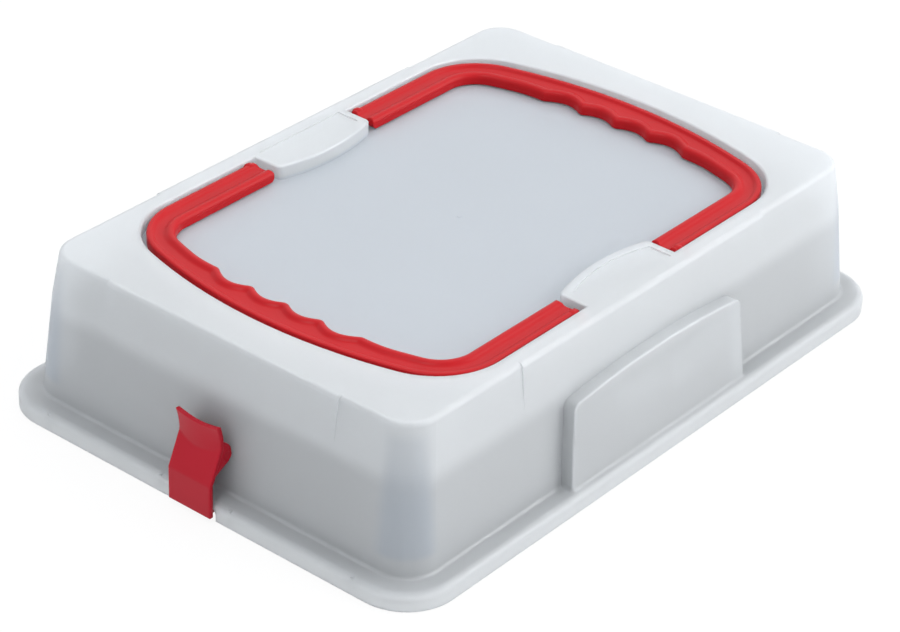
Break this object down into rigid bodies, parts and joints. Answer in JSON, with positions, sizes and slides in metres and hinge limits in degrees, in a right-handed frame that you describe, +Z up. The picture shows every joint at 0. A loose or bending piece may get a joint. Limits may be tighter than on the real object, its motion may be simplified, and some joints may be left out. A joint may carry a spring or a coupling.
{
  "type": "rectangular springform pan with cover",
  "caption": "Rectangular springform pan on a rimmed tray under a frosted carrying cover with fold-up handles and side clips.",
  "frame": {"origin": "on the table, under the middle of the tray and of the whole outline", "axes": "+X along the long sides, +Y along the short sides, +Z up; the ring's latch is on the -Y side"},
  "size_m": [0.43, 0.3, 0.0965],
  "materials": {
    "frosted_cover": "frosted translucent polypropylene",
    "red_handle": "fine satin moulded polypropylene",
    "red_clip": "fine satin moulded polypropylene",
    "dark_tray": "satin non-stick coating on sheet steel",
    "dark_ring": "satin non-stick coating on sheet steel",
    "latch_steel": "bright pressed steel",
    "pin_steel": "bright drawn steel"
  },
  "bodies": {
    "tray": {"base_tray": "dark_tray"},
    "ring": {"pan_ring": "dark_ring", "latch_bracket": "latch_steel", "latch_catch": "latch_steel", "lever_pin": "pin_steel", "catch_pin": "pin_steel", "bracket_rivets": "pin_steel", "catch_rivets": "pin_steel"},
    "cover": {"cover_shell": "frosted_cover"},
    "handle_left": {"handle_left": "red_handle"},
    "handle_right": {"handle_right": "red_handle"},
    "clip_left": {"clip_left": "red_clip"},
    "clip_right": {"clip_right": "red_clip"},
    "latch_lever": {"latch_lever": "latch_steel", "link_pin": "pin_steel"},
    "latch_link": {"latch_link": "latch_steel"}
  },
  "joints": [
    {"name": "ring_lift", "type": "slide", "parent": "tray", "child": "ring", "axis": [0, 0, 1], "range_m": [0, 0.09]},
    {"name": "cover_lift", "type": "slide", "parent": "ring", "child": "cover", "axis": [0, 0, 1], "range_m": [0, 0.11]},
    {"name": "handle_left_swing", "type": "hinge", "parent": "cover", "child": "handle_left", "pos_m": [-0.0459, 0, 0.0922], "axis": [0, 1, 0], "range_deg": [0, 110]},
    {"name": "handle_right_swing", "type": "hinge", "parent": "cover", "child": "handle_right", "pos_m": [0.0459, 0, 0.0922], "axis": [0, -1, 0], "range_deg": [0, 110]},
    {"name": "clip_left_swing", "type": "hinge", "parent": "cover", "child": "clip_left", "pos_m": [-0.20193, 0, 0.036], "axis": [0, 1, 0], "range_deg": [0, 28]},
    {"name": "clip_right_swing", "type": "hinge", "parent": "cover", "child": "clip_right", "pos_m": [0.20193, 0, 0.036], "axis": [0, -1, 0], "range_deg": [0, 28]},
    {"name": "latch_lever_swing", "type": "hinge", "parent": "ring", "child": "latch_lever", "pos_m": [0.014, -0.1294, 0.0381], "axis": [0, 0, -1], "range_deg": [0, 5]},
    {"name": "latch_link_swing", "type": "hinge", "parent": "latch_lever", "child": "latch_link", "pos_m": [0.026, -0.13, 0.0381], "axis": [0, 0, -1], "range_deg": [-3.9, 0]}
  ],
  "couplings": [
    {"joint": "latch_link_swing", "follows": "latch_lever_swing", "ratio": -0.7696}
  ]
}
